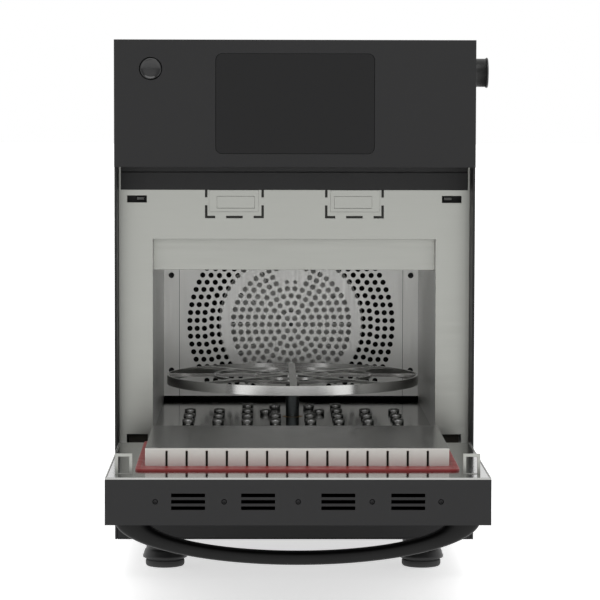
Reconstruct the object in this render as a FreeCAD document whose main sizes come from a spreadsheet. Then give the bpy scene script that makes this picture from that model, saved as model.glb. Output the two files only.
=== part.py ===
import FreeCAD, Part
import math
import os
import re

import Sketcher
from FreeCAD import Placement, Rotation, Vector

# Countertop hot-air reflow oven with a drop-down door, a rotating rack and a touch head.
# Working frame: X = 0 on the middle plane, Y = 0 on the front of the steel face plate with +Y
# to the back, Z = 0 under the feet. Every sub-part's Placement then moves the whole oven so
# that the origin is the bottom centre of its bounding box.

# Driving dimensions in millimetres (degrees for door_open). Each one is a cell of the sheet.
SIZES = {
    # chamber and cabinet
    "chamber_width": 310.4, "chamber_depth": 350, "chamber_height": 218, "opening_step": 4,
    "jamb_width": 39.8, "sill_height": 111, "lintel_height": 80, "foot_height": 45,
    "head_height": 137, "head_forward": 49, "cover_forward": 44, "rear_space": 160,
    "cover_sheet": 2.5, "plate_sheet": 2, "liner_sheet": 1.5, "fit_gap": 0.2, "joint_gap": 0.4,
    "trim_height": 26, "trim_inset": 5, "trim_groove": 1,
    # head: screen, power button, knob
    "glass_width": 171, "glass_height": 107.5, "glass_corner": 6.9, "glass_thick": 3,
    "glass_below_top": 15, "button_radius": 12, "button_inset": 39.5, "button_below_top": 31.2,
    "button_cap": 6, "button_stem": 4, "dome_length": 6.6, "knob_radius": 16.5,
    "knob_reach": 16, "knob_below_top": 34.6, "knob_setback": 0, "spindle_radius": 3,
    "bush_radius": 7, "running_gap": 0.05, "supply_width": 90, "supply_length": 140,
    "supply_height": 48, "supply_inset": 22.3, "supply_setback": 120, "terminal_depth": 16,
    # door
    "door_gap": 3, "door_open": 90, "hinge_inset": 1, "door_side_gap": 4.5, "door_head_gap": 3,
    "door_rise": 2.5, "door_skin": 2.5, "door_plate": 1.5, "chamfer_rise": 36.5,
    "chamfer_depth": 27, "pin_radius": 3, "knuckle_radius": 5.5, "knuckle_width": 9,
    "ear_width": 3, "vent_length": 33, "vent_width": 3.6, "vent_pitch": 6.25,
    "vent_inner": 39, "vent_outer": 107, "screw_inner": 72, "screw_outer": 139,
    "plug_side_gap": 3.2, "plug_floor_gap": 5, "plug_top_gap": 8, "plug_depth": 19.5,
    "comb_end": 21.35, "comb_width": 2.2, "comb_band": 3, "comb_sheet": 1.5, "comb_count": 14,
    "comb_side_end": 10.05, "comb_side_count": 10, "door_screw_radius": 2.7,
    "gasket_margin": 9, "gasket_top_margin": 32, "gasket_thick": 2.7,
    "striker_drop": 36.2, "striker_thick": 3, "striker_width": 17, "striker_reach": 20,
    "striker_aside": 1.5, "striker_bar": 3, "lip_clearance": 0.3, "lip_wall": 1.5,
    "handle_inset": 7, "handle_reach": 45.4,
    "handle_band": 33, "handle_inner_reach": 32, "handle_width": 20, "handle_drop": 54,
    "handle_round": 4,
    # face plate
    "slot_inset": 22.5, "slot_margin": 2.15, "slot_clearance": 0.6, "slot_headroom": 3.9,
    "hinge_slot_height": 11, "hinge_slot_length": 23,
    "catch_inner": 33.6, "catch_outer": 97.9, "pad_thick": 1.5, "pad_rise": 30,
    "lever_width": 8, "lever_thick": 2.6, "lever_length": 22, "lever_travel": 3,
    "lever_aside": 3.3, "catch_drop": 31, "dash_width": 2.5, "dash_end": 11,
    "dash_middle": 18, "bracket_sheet": 1.5,
    # chamber parts
    "baffle_sheet": 1.2, "strip_width": 19.5, "baffle_foot_gap": 6, "seam": 0.5,
    "fan_floor_gap": 5.2, "hole_radius": 3.2, "hole_step": 8.8, "inner_rings": 8,
    "outer_rings": 5, "outer_pitch": 9.7, "skirt_setback": 24, "skirt_drop": 35,
    "nozzle_radius": 6.6, "nozzle_height": 5.6, "tube_radius": 5, "tube_drop": 12,
    "notch_half": 11.6, "notch_low": 59.2, "probe_x": 110, "probe_y": 300, "probe_radius": 2,
    # fan
    "plenum_depth": 48, "arch_top_gap": 21.8, "impeller_setback": 10, "blade_depth": 20,
    "blade_count": 12, "impeller_sheet": 1.5, "fan_shaft_radius": 5, "arch_gap": 11,
    "heater_wire_radius": 4, "motor_radius": 36, "motor_length": 52,
    # rack
    "rack_side_gap": 9.9, "rack_end_gap": 29.7, "rack_height": 49.3, "rack_band": 10.6, "rack_wall": 2,
    "rack_bar": 8, "rack_bar_thick": 3, "rack_spokes": 8, "rack_shaft_radius": 7.8,
    "bearing_radius": 12, "spigot_pin_radius": 4, "spigot_pin_length": 6,
    # feet and rear
    "foot_inset": 51, "foot_setback": 60, "foot_rear_inset": 60, "foot_neck": 21.5,
    "foot_flange": 25, "pad_radius": 22.5, "pad_height": 6, "spigot_radius": 25,
    "spigot_length": 18, "insulation_thick": 25, "cooler_offset": 100, "cooler_half": 40,
    "cooler_depth": 25, "cooler_shaft": 3, "spigot_offset": 100, "spigot_rise": 70,
    "inlet_offset": 60, "inlet_rise": 40.3, "inlet_half_width": 13.6,
    "inlet_half_height": 10.1,
}

# Places worked out from the driving dimensions.
PLACES = {
    "half_width": "chamber_width / 2 + jamb_width",
    "inner_half": "half_width - cover_sheet - fit_gap",
    "chamber_half": "chamber_width / 2",
    "floor_z": "foot_height + sill_height",
    "opening_height": "chamber_height - opening_step",
    "opening_top": "floor_z + opening_height",
    "ceiling_z": "floor_z + chamber_height",
    "head_bottom": "opening_top + lintel_height",
    "cab_top": "head_bottom + head_height",
    "trim_bottom": "head_bottom - trim_height",
    "base_top": "foot_height + plate_sheet",
    "rear_inner": "chamber_depth + rear_space",
    "rear_outer": "rear_inner + plate_sheet",
    "shelf_top": "head_bottom + plate_sheet",
    "glass_high": "cab_top - glass_below_top",
    "glass_low": "glass_high - glass_height",
    "fascia_back": "cover_sheet - head_forward",
    "button_offset": "half_width - button_inset",
    "button_z": "cab_top - button_below_top",
    "knob_z": "cab_top - knob_below_top",
    "hinge_y": "hinge_inset - head_forward",
    "hinge_z": "floor_z + door_gap + hinge_y",
    "kick_top": "hinge_z - knuckle_radius - 2",
    "door_half": "half_width - cover_sheet - door_side_gap",
    "door_top": "head_bottom - door_head_gap",
    "door_bottom": "hinge_z + door_rise",
    "door_mid_y": "-(head_forward + door_gap) / 2",
    "plug_half": "chamber_half - plug_side_gap",
    "plug_low": "floor_z + plug_floor_gap",
    "plug_high": "opening_top - plug_top_gap",
    "plug_face": "plug_depth - door_gap",
    "comb_span": "2 * (plug_half - comb_end)",
    "comb_side_span": "plug_high - plug_low - 2 * comb_side_end",
    "gasket_half": "plug_half + gasket_margin",
    "gasket_low": "plug_low - gasket_margin",
    "gasket_high": "plug_high + gasket_top_margin",
    "lip_rise": "door_gap - plate_sheet - lip_clearance",
    "striker_low": "door_top - striker_drop",
    "slot_mid": "half_width - slot_inset",
    "striker_mid": "slot_mid - striker_aside",
    "striker_tip": "striker_reach - door_gap",
    "slot_half": "striker_width / 2 + slot_margin",
    "slot_low": "striker_low - slot_clearance",
    "slot_high": "striker_low + striker_thick + slot_headroom",
    "handle_span": "door_half - handle_inset",
    "handle_inner_span": "handle_span - handle_band",
    "handle_mid": "door_top - handle_drop + handle_width / 2",
    "lever_mid": "slot_mid - lever_aside",
    "lever_z": "(slot_low + slot_high) / 2",
    "cooler_z": "head_bottom + 68",
    "fan_room": "chamber_height - fan_floor_gap - arch_gap - arch_top_gap",
    "impeller_radius": "(fan_room - heater_wire_radius) / 2",
    "heater_arch_radius": "impeller_radius + arch_gap",
    "fan_height": "impeller_radius + fan_floor_gap",
    "fan_z": "floor_z + fan_height",
    "baffle_half": "chamber_half - strip_width",
    "baffle_low": "floor_z + baffle_foot_gap",
    "baffle_back": "chamber_depth + baffle_sheet",
    "liner_half": "chamber_half + liner_sheet",
    "liner_low": "floor_z - plate_sheet - liner_sheet",
    "liner_high": "ceiling_z + liner_sheet",
    "liner_back": "chamber_depth + plate_sheet",
    "plenum_back": "liner_back + plenum_depth",
    "impeller_front": "baffle_back + impeller_setback",
    "impeller_back": "impeller_front + blade_depth + impeller_sheet",
    "rack_y": "chamber_depth / 2",
    "rack_radius": "min(chamber_half - rack_side_gap; rack_y - rack_end_gap)",
    "foot_offset": "half_width - foot_inset",
    "rack_top": "floor_z + rack_height",
    "oven_front": "hinge_y + hinge_z - door_top",
    "oven_back": "rear_outer + spigot_length",
    "inlet_z": "base_top + inlet_rise",
    "spigot_z": "head_bottom + spigot_rise",
    "catch_low": "trim_bottom - catch_drop",
    "catch_mid": "(catch_inner + catch_outer) / 2",
    "shift_x": "-knob_reach / 2",
    "shift_y": "-(oven_front + oven_back) / 2",
}

doc = FreeCAD.newDocument("ReflowOven")
sheet = doc.addObject("Spreadsheet::Sheet", "Dims")
for row, (alias, number) in enumerate(SIZES.items(), start=1):
    sheet.set(f"A{row}", alias)
    sheet.set(f"B{row}", str(number))
    sheet.setAlias(f"B{row}", alias)
doc.recompute()

nodes = []
SIDES = (-1, 1)


def cells(text):
    """Turn the words of a formula into references to the sheet's cells."""
    def swap(found):
        word = found.group()
        if word in PLACES:
            return "(" + cells(PLACES[word]) + ")"
        return "Dims." + word if word in SIZES else word
    return re.sub(r"\b[a-z_]+\b", swap, str(text))


# ---- Part primitives whose sizes and places are formulas of the sheet ----------------------

def block(x, y, z):
    """Box between a low and a high bound along each axis."""
    solid = doc.addObject("Part::Box", "Block")
    for size, letter, (low, high) in zip(("Length", "Width", "Height"), "xyz", (x, y, z)):
        solid.setExpression(size, cells(f"({high}) - ({low})"))
        solid.setExpression(f"Placement.Base.{letter}", cells(low))
    return solid


def rod(axis, radius, across, span):
    """Cylinder along an axis: across holds its two other coordinates, span its two ends."""
    turns = {"x": Rotation(Vector(0, 1, 0), 90), "y": Rotation(Vector(1, 0, 0), -90),
             "z": Rotation()}
    solid = doc.addObject("Part::Cylinder", "Rod")
    solid.Placement = Placement(Vector(), turns[axis])
    low, high = span
    solid.setExpression("Radius", cells(radius))
    solid.setExpression("Height", cells(f"({high}) - ({low})"))
    place = list(across)
    place.insert("xyz".index(axis), low)
    for letter, text in zip("xyz", place):
        solid.setExpression(f"Placement.Base.{letter}", cells(text))
    return solid


def fuse(*solids):
    joined = doc.addObject("Part::MultiFuse", "Joined")
    joined.Shapes = list(solids)
    return joined


def cut(base, *tools):
    result = doc.addObject("Part::Cut", "Trimmed")
    result.Base = base
    result.Tool = tools[0] if len(tools) == 1 else fuse(*tools)
    return result


def group(*solids):
    """Several separate solids of one kind, kept as one sub-part."""
    together = doc.addObject("Part::Compound", "Group")
    together.Links = list(solids)
    return together


def tube(axis, outer, inner, across, span):
    low, high = span
    bore = rod(axis, inner, across, (f"({low}) - 1", f"({high}) + 1"))
    return cut(rod(axis, outer, across, span), bore)


def mirrored(low, high, side):
    """Bounds of a stretch of X on the left (-1) or right (+1) of the middle plane."""
    return (low, high) if side > 0 else (f"-({high})", f"-({low})")


# ---- PartDesign helpers ----------------------------------------------------------------------

def origin_feature(body, role):
    return next(item for item in body.Origin.OriginFeatures if item.Role == role)


def sketch_on(body, role, offset="0"):
    sketch = body.newObject("Sketcher::SketchObject", "Sketch")
    sketch.AttachmentSupport = (origin_feature(body, role), [""])
    sketch.MapMode = "FlatFace"
    sketch.setExpression("AttachmentOffset.Base.z", cells(offset))
    return sketch


def bind(sketch, kind, geometry, point, text, first_guess):
    """One driving constraint, measured from the sketch origin where it is a distance."""
    if kind == "Radius":
        number = sketch.addConstraint(Sketcher.Constraint(kind, geometry, first_guess))
    else:
        number = sketch.addConstraint(
            Sketcher.Constraint(kind, -1, 1, geometry, point, first_guess))
    sketch.setExpression(f"Constraints[{number}]", cells(text))


def draw_outline(sketch, corners):
    """Closed run of straight lines through corners given as (across, up) formulas."""
    first = sketch.GeometryCount
    count = len(corners)
    guess = [(10 * math.cos(2 * math.pi * i / count) + 20,
              10 * math.sin(2 * math.pi * i / count) + 20) for i in range(count)]
    for i, start in enumerate(guess):
        end = guess[(i + 1) % count]
        sketch.addGeometry(Part.LineSegment(Vector(*start, 0), Vector(*end, 0)), False)
    for i in range(count):
        following = first + (i + 1) % count
        sketch.addConstraint(Sketcher.Constraint("Coincident", first + i, 2, following, 1))
    for i, (across, up) in enumerate(corners):
        bind(sketch, "DistanceX", first + i, 1, across, guess[i][0])
        bind(sketch, "DistanceY", first + i, 1, up, guess[i][1])


def draw_rectangle(sketch, across, up):
    (left, right), (low, high) = across, up
    draw_outline(sketch, [(left, low), (right, low), (right, high), (left, high)])


def draw_circle(sketch, across, up, radius):
    circle = sketch.addGeometry(Part.Circle(Vector(5, 5, 0), Vector(0, 0, 1), 3), False)
    bind(sketch, "Radius", circle, 0, radius, 3)
    bind(sketch, "DistanceX", circle, 3, across, 5)
    bind(sketch, "DistanceY", circle, 3, up, 5)


def pad(body, sketch, length, midplane=False, reversed_way=False):
    feature = body.newObject("PartDesign::Pad", "Pad")
    feature.Profile = sketch
    feature.setExpression("Length", cells(length))
    feature.Midplane = midplane
    feature.Reversed = reversed_way
    doc.recompute()
    return feature


def pocket(body, sketch, depth=None, reversed_way=False):
    """Cut a sketch out of the body: right through both ways, or to a depth."""
    before = body.Shape.Volume
    feature = body.newObject("PartDesign::Pocket", "Pocket")
    feature.Profile = sketch
    if depth is None:
        feature.Type = "ThroughAll"
        feature.Midplane = True
    else:
        feature.setExpression("Length", cells(depth))
        feature.Reversed = reversed_way
    doc.recompute()
    if body.Shape.Volume > before - 0.01:
        raise RuntimeError(f"pocket in {body.Name} cuts nothing")
    return feature


def row_of(body, feature, role, length, count):
    """Repeat a feature along an origin axis of the body."""
    pattern = body.newObject("PartDesign::LinearPattern", "LinearPattern")
    pattern.Originals = [feature]
    pattern.Direction = (origin_feature(body, role), [""])
    pattern.setExpression("Length", cells(length))
    pattern.Occurrences = count
    body.Tip = pattern
    doc.recompute()
    return pattern


def edges_where(shape, test):
    return [f"Edge{i}" for i, edge in enumerate(shape.Edges, start=1) if test(edge)]


def runs_along(axis):
    """Test for straight edges parallel to an axis."""
    def test(edge):
        if edge.Curve.TypeId != "Part::GeomLine":
            return False
        return abs(edge.Curve.Direction.dot(axis)) > 0.999
    return test


def fillet(body, base, names, radius):
    feature = body.newObject("PartDesign::Fillet", "Fillet")
    feature.Base = (base, names)
    feature.setExpression("Radius", cells(radius))
    doc.recompute()
    return feature


# ---- naming and placing ----------------------------------------------------------------------

CABINET = "placement(vector(shift_x; shift_y; 0); rotation(vector(1; 0; 0); 0))"
DOOR = ("placement(vector(shift_x; "
        "shift_y + hinge_y - hinge_y * cos(door_open) + hinge_z * sin(door_open); "
        "hinge_z - hinge_y * sin(door_open) - hinge_z * cos(door_open)); "
        "rotation(vector(1; 0; 0); door_open))")


def at(x, y, z, tilt="0"):
    """Placement formula for a sub-part built round its own local origin, tilted about X."""
    return (f"placement(vector(shift_x + ({x}); shift_y + ({y}); {z}); "
            f"rotation(vector(1; 0; 0); {tilt}))")


def number(word):
    """The value that a size or a place has now."""
    return float(sheet.evalExpression(cells(word)))


def node(name, solid, where=CABINET):
    """Give a finished sub-part its label and its place in the oven."""
    if solid.TypeId in ("Part::Box", "Part::Cylinder"):
        solid = group(solid)
    solid.Label = name
    solid.setExpression("Placement", cells(where))
    nodes.append(solid)
    return solid


# ---- cabinet shell ---------------------------------------------------------------------------

def make_outer_cover():
    """Wrap-round sheet for the top and both sides, with cooling slots low and high."""
    body = doc.addObject("PartDesign::Body", "OuterCover")
    inner = "half_width - cover_sheet"
    roof = "cab_top - cover_sheet"
    section = sketch_on(body, "XZ_Plane", "-rear_outer")
    draw_outline(section, [
        ("-half_width", "foot_height"), ("-half_width", "cab_top"), ("half_width", "cab_top"),
        ("half_width", "foot_height"), (inner, "foot_height"), (inner, roof),
        (f"-({inner})", roof), (f"-({inner})", "foot_height")])
    pad(body, section, "rear_outer + cover_forward")
    slot = sketch_on(body, "YZ_Plane")
    draw_rectangle(slot, ("rear_inner - 170", "rear_inner - 30"),
                   ("head_bottom + 40", "head_bottom + 44"))
    vents = pocket(body, slot)
    row_of(body, vents, "Z_Axis", "60", 6)
    spindle = sketch_on(body, "YZ_Plane", "half_width")
    draw_circle(spindle, "knob_setback", "knob_z", "bush_radius")
    pocket(body, spindle, "cover_sheet")
    node("outer_cover", body)


def make_base():
    """Bottom pan, kick panel and the shelf that closes the head."""
    node("base_pan", block(("-inner_half", "inner_half"), ("-cover_forward", "rear_inner - fit_gap"),
                           ("foot_height", "base_top")))
    upright = block(("-inner_half", "inner_half"),
                    ("-cover_forward", "plate_sheet - cover_forward"), ("base_top", "kick_top"))
    sill = block(("-inner_half", "inner_half"), ("-cover_forward", "plate_sheet"),
                 ("kick_top - plate_sheet", "kick_top"))
    node("kick_panel", fuse(upright, sill))
    node("head_shelf", block(("-inner_half", "inner_half"),
                             ("-cover_forward", "rear_inner - fit_gap"),
                             ("head_bottom", "shelf_top")))


def make_rear_panel():
    """Back sheet with a fan opening, the mains inlet's cut-out, the exhaust hole and slots."""
    body = doc.addObject("PartDesign::Body", "RearPanel")
    outline = sketch_on(body, "XZ_Plane", "-rear_outer")
    draw_rectangle(outline, ("-inner_half", "inner_half"),
                   ("base_top", "cab_top - cover_sheet - fit_gap"))
    pad(body, outline, "plate_sheet")
    openings = sketch_on(body, "XZ_Plane", "-rear_outer")
    draw_rectangle(openings, ("-inlet_offset - inlet_half_width - fit_gap",
                              "-inlet_offset + inlet_half_width + fit_gap"),
                   ("inlet_z - inlet_half_height - fit_gap",
                    "inlet_z + inlet_half_height + fit_gap"))
    draw_circle(openings, "-spigot_offset", "spigot_z", "spigot_radius - liner_sheet")
    pocket(body, openings)
    slot = sketch_on(body, "XZ_Plane", "-rear_outer")
    draw_rectangle(slot, ("cooler_offset - cooler_half + 2", "cooler_offset + cooler_half - 2"),
                   ("cooler_z - cooler_half + 8", "cooler_z - cooler_half + 12"))
    row_of(body, pocket(body, slot), "Z_Axis", "2 * cooler_half - 17", 8)
    low_slot = sketch_on(body, "XZ_Plane", "-rear_outer")
    draw_rectangle(low_slot, ("20", "inner_half - 42.3"), ("base_top + 28", "base_top + 32"))
    row_of(body, pocket(body, low_slot), "Z_Axis", "40", 5)
    node("rear_panel", body)


def make_feet():
    """Four turned feet with a wide flange, each standing on a rubber pad."""
    necks, pads = [], []
    for side in SIDES:
        for setback in ("foot_setback", "rear_inner - foot_rear_inset"):
            across = (f"{side} * foot_offset", setback)
            necks.append(fuse(
                rod("z", "foot_neck", across, ("pad_height + 3", "foot_height")),
                rod("z", "foot_flange", across, ("pad_height + 4", "pad_height + 12")),
                rod("z", "foot_neck - 1.5", across, ("pad_height", "pad_height + 5"))))
            pads.append(rod("z", "pad_radius", across, ("0", "pad_height")))
    node("feet", group(*necks))
    node("foot_pads", group(*pads))


# ---- head ------------------------------------------------------------------------------------

def make_head_fascia():
    """Black front of the head: a shallow tray with the screen and button cut out of it."""
    body = doc.addObject("PartDesign::Body", "HeadFascia")
    outline = sketch_on(body, "XZ_Plane", "cover_forward")
    draw_rectangle(outline, ("-half_width", "half_width"), ("head_bottom", "cab_top"))
    pad(body, outline, "head_forward - cover_forward")
    hollow = sketch_on(body, "XZ_Plane", "cover_forward")
    draw_rectangle(hollow, ("cover_sheet - half_width", "half_width - cover_sheet"),
                   ("head_bottom + cover_sheet", "cab_top - cover_sheet"))
    pocket(body, hollow, "head_forward - cover_forward - cover_sheet", reversed_way=True)
    window = sketch_on(body, "XZ_Plane", "cover_forward")
    draw_rectangle(window, ("-glass_width / 2 - fit_gap", "glass_width / 2 + fit_gap"),
                   ("glass_low - fit_gap", "glass_high + fit_gap"))
    draw_circle(window, "-button_offset", "button_z", "button_radius + joint_gap")
    pocket(body, window)
    window_side = number("glass_width") / 2 + number("fit_gap")
    corners = edges_where(body.Shape, lambda edge: runs_along(Vector(0, 1, 0))(edge)
                          and abs(abs(edge.CenterOfMass.x) - window_side) < 0.01)
    fillet(body, body.Tip, corners, "glass_corner + fit_gap")
    node("head_fascia", body)


def make_touch_glass():
    body = doc.addObject("PartDesign::Body", "TouchGlass")
    outline = sketch_on(body, "XZ_Plane", "head_forward - glass_thick")
    draw_rectangle(outline, ("-glass_width / 2", "glass_width / 2"), ("glass_low", "glass_high"))
    base = pad(body, outline, "glass_thick")
    fillet(body, base, edges_where(body.Shape, runs_along(Vector(0, 1, 0))), "glass_corner")
    node("touch_glass", body)


def make_display():
    """Display module behind the glass, and the control board with its taller parts."""
    front = "glass_thick - head_forward"
    node("display_module", block(("4 - glass_width / 2", "glass_width / 2 - 4"),
                                 (front, f"{front} + 8"), ("glass_low + 4", "glass_high - 4")))
    board_back = f"{front} + 15.6"
    board = block(("-90", "90"), (f"{front} + 14", board_back),
                  ("glass_low - 4", "glass_high + 4"))
    chip_sizes = ((-70, 20, 22, 22, 2.4), (-20, 60, 30, 12, 9), (30, 12, 40, 16, 11))
    chips = [block((left, left + wide), (board_back, f"{board_back} + {thick}"),
                   (f"glass_low + {low}", f"glass_low + {low + tall}"))
             for left, low, wide, tall, thick in chip_sizes]
    node("control_board", fuse(board, *chips))


def make_power_button():
    """Round push button: the cap slides in a cup-shaped housing on a rubber return dome."""
    across = ("-button_offset", "button_z")
    cap_back = "button_cap - head_forward"
    node("power_button", fuse(rod("y", "button_radius", across, ("-head_forward", cap_back)),
                              rod("y", "button_stem", across, (cap_back, f"{cap_back} + 5"))))
    cup = rod("y", "button_radius + 2.4", across, ("fascia_back", "fascia_back + 15"))
    bore = rod("y", "button_radius + joint_gap", across, ("fascia_back - 1", "fascia_back + 13"))
    node("button_housing", cut(cup, bore))
    dome = doc.addObject("Part::Cone", "Dome")
    dome.setExpression("Radius1", cells("button_stem + 4"))
    dome.setExpression("Radius2", cells("button_stem + 1.5"))
    dome.setExpression("Height", cells("dome_length"))
    stem_way = doc.addObject("Part::Cylinder", "StemWay")
    stem_way.setExpression("Radius", cells("button_stem"))
    stem_way.setExpression("Height", cells("dome_length + 2"))
    stem_way.Placement.Base.z = -1
    facing_back = "-90"
    node("return_dome", cut(dome, stem_way),
         at("-button_offset", cap_back, "button_z", facing_back))


def make_side_knob():
    """Turned knob on a spindle that runs in a bush through the right-hand side."""
    across = ("knob_setback", "knob_z")
    face = "half_width + 0.6"
    end = "half_width + knob_reach"
    knob = fuse(rod("x", "knob_radius - 2.2", across, (face, f"{end} - 1")),
                rod("x", "knob_radius - 1", across, (f"{end} - 6", f"{end} - 4")),
                rod("x", "knob_radius", across, (f"{end} - 4", f"{end} - 1.2")),
                rod("x", "knob_radius - 1.5", across, (f"{end} - 1.2", end)))
    bore = rod("x", "spindle_radius", across, (f"{face} - 1", "half_width + 9"))
    node("side_knob", cut(knob, bore))
    node("knob_spindle", rod("x", "spindle_radius", across, ("half_width - 26", "half_width + 9")))
    node("knob_bush", tube("x", "bush_radius", "spindle_radius + running_gap", across,
                           ("half_width - 12", "half_width + fit_gap")))


def make_head_contents():
    """Power supply on the shelf, and the electronics' cooling fan on the rear panel."""
    outside, inside = "supply_inset - inner_half", "supply_inset + supply_width - inner_half"
    supply = block((outside, inside), ("supply_setback", "supply_setback + supply_length"),
                   ("shelf_top", "shelf_top + supply_height"))
    terminals = block((f"{outside} + 10", f"{inside} - 10"),
                      ("supply_setback - terminal_depth", "supply_setback"),
                      ("shelf_top", "shelf_top + 0.3 * supply_height"))
    node("power_supply", fuse(supply, terminals))
    middle, half, height = "cooler_offset", "cooler_half", "cooler_z"
    frame = cut(block((f"{middle} - {half}", f"{middle} + {half}"),
                      ("rear_inner - cooler_depth", "rear_inner"),
                      (f"{height} - {half}", f"{height} + {half}")),
                rod("y", f"{half} - 3", (middle, height),
                    ("rear_inner - cooler_depth - 1", "rear_inner + 1")))
    strut = block((f"{middle} - {half} + 1", f"{middle} + {half} - 1"),
                  ("rear_inner - 4", "rear_inner"), (f"{height} - 2", f"{height} + 2"))
    seat = tube("y", "16", "cooler_shaft + running_gap", (middle, height),
                ("rear_inner - 4", "rear_inner"))
    pivot = rod("y", "cooler_shaft + running_gap", (middle, height),
                ("rear_inner - 5", "rear_inner + 1"))
    node("cooling_fan_frame", fuse(frame, cut(strut, pivot), seat))
    wheel = bladed_wheel("CoolingRotor", "14.5", "cooler_depth - 9", "14.5", "cooler_depth - 9",
                         ("12", "cooler_half - 5"), "cooler_depth - 11", 7)
    pin = wheel_pin(wheel, "cooler_shaft", "4.5")
    node("cooling_fan_rotor", pin, at(middle, "rear_inner - 5", height))


def wheel_pin(body, radius, length):
    """Short pivot that stands out of the back of a wheel."""
    sketch = sketch_on(body, "XZ_Plane")
    draw_circle(sketch, "0", "0", radius)
    pad(body, sketch, length, reversed_way=True)
    return body


def bladed_wheel(name, disc_radius, disc_thick, hub_radius, hub_length, blade, depth, count):
    """Wheel round the local Y axis: its back is at Y = 0 and it grows towards -Y."""
    body = doc.addObject("PartDesign::Body", name)
    disc = sketch_on(body, "XZ_Plane")
    draw_circle(disc, "0", "0", disc_radius)
    pad(body, disc, disc_thick)
    hub = sketch_on(body, "XZ_Plane")
    draw_circle(hub, "0", "0", hub_radius)
    pad(body, hub, hub_length)
    outline = sketch_on(body, "XZ_Plane")
    draw_rectangle(outline, blade, ("-impeller_sheet / 2", "impeller_sheet / 2"))
    first = pad(body, outline, depth)
    pattern = body.newObject("PartDesign::PolarPattern", "Blades")
    pattern.Originals = [first]
    pattern.Axis = (origin_feature(body, "Y_Axis"), [""])
    pattern.Angle = 360
    pattern.Occurrences = count
    body.Tip = pattern
    doc.recompute()
    return body


# ---- face plate and its fittings -------------------------------------------------------------

def make_face_plate():
    """Steel front frame of the chamber with the catch, interlock and hinge slots."""
    body = doc.addObject("PartDesign::Body", "FacePlate")
    outline = sketch_on(body, "XZ_Plane", "-plate_sheet")
    draw_rectangle(outline, ("-inner_half", "inner_half"), ("kick_top", "head_bottom"))
    pad(body, outline, "plate_sheet")
    opening = sketch_on(body, "XZ_Plane", "-plate_sheet")
    draw_rectangle(opening, ("-chamber_half", "chamber_half"), ("floor_z", "opening_top"))
    pocket(body, opening)
    slots = sketch_on(body, "XZ_Plane", "-plate_sheet")
    for side in SIDES:
        middle = f"{side} * slot_mid"
        draw_rectangle(slots, (f"{middle} - slot_half", f"{middle} + slot_half"),
                       ("slot_low", "slot_high"))
        draw_rectangle(slots, (f"{middle} - hinge_slot_length / 2",
                               f"{middle} + hinge_slot_length / 2"),
                       ("floor_z - hinge_slot_height", "floor_z - 1"))
    pocket(body, slots)
    upright = sketch_on(body, "XZ_Plane", "-plate_sheet")
    level = sketch_on(body, "XZ_Plane", "-plate_sheet")
    for side in SIDES:
        for edge in ("catch_inner", "catch_outer - dash_width"):
            across = mirrored(edge, f"{edge} + dash_width", side)
            draw_rectangle(upright, across, ("catch_low", "trim_bottom - 17"))
            draw_rectangle(upright, across, ("trim_bottom - 8", "trim_bottom"))
        for start, length in (("catch_mid - dash_middle / 2", "dash_middle"),
                              ("catch_inner", "dash_end"),
                              ("catch_outer - dash_end", "dash_end")):
            draw_rectangle(level, mirrored(start, f"{start} + {length}", side),
                           ("catch_low", "catch_low + dash_width"))
    pocket(body, upright)
    pocket(body, level)
    node("face_plate", body)


def make_front_fittings():
    """Dark trim under the head, catch pads with their brackets behind the plate's open seams,
    and the switches behind the interlock slots."""
    trim = block(("trim_inset - half_width", "half_width - trim_inset"), ("-plate_sheet", "0"),
                 ("trim_bottom", "head_bottom"))
    groove = block(("-half_width", "half_width"), ("-plate_sheet - 1", "trim_groove - plate_sheet"),
                   ("head_bottom - 6.8", "head_bottom - 5.8"))
    node("top_trim", cut(trim, groove))
    pads = []
    for side in SIDES:
        plate = block(mirrored("catch_inner + 5.9", "catch_outer - 4.4", side),
                      ("-pad_thick", "0"), ("opening_top + pad_rise", "trim_bottom"))
        recess = block(mirrored("catch_inner + 10", "catch_outer - 13", side),
                       ("-pad_thick - 1", "-pad_thick / 2"),
                       ("opening_top + pad_rise + 4", "trim_bottom - 7"))
        pads.append(cut(plate, recess))
        pads.append(block(mirrored("catch_inner - 3", "catch_outer + 3", side),
                          ("plate_sheet", "plate_sheet + bracket_sheet"),
                          ("catch_low - 3", "head_bottom - 2")))
    node("catch_pads", group(*pads))
    switches = []
    for side, name in zip(SIDES, ("interlock_lever_left", "interlock_lever_right")):
        near, far = "lever_mid - lever_width / 2", "lever_mid + lever_width / 2"
        half = "lever_thick / 2"
        front = "striker_tip + joint_gap"
        lever = block(mirrored(near, far, side), (front, f"{front} + lever_length"),
                      (f"lever_z - {half}", f"lever_z + {half}"))
        body = block(mirrored("lever_mid - 11", "inner_half", side),
                     (f"{front} + 9", f"{front} + 44"), ("lever_z - 9", "lever_z + 9"))
        channel = block(mirrored(f"{near} - joint_gap", f"{far} + joint_gap", side),
                        (f"{front} + 8", f"{front} + lever_length + lever_travel + 0.6"),
                        (f"lever_z - {half} - joint_gap", f"lever_z + {half} + joint_gap"))
        switches.append(cut(body, channel))
        node(name, lever)
    node("interlock_switches", group(*switches))


# ---- chamber ---------------------------------------------------------------------------------

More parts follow.
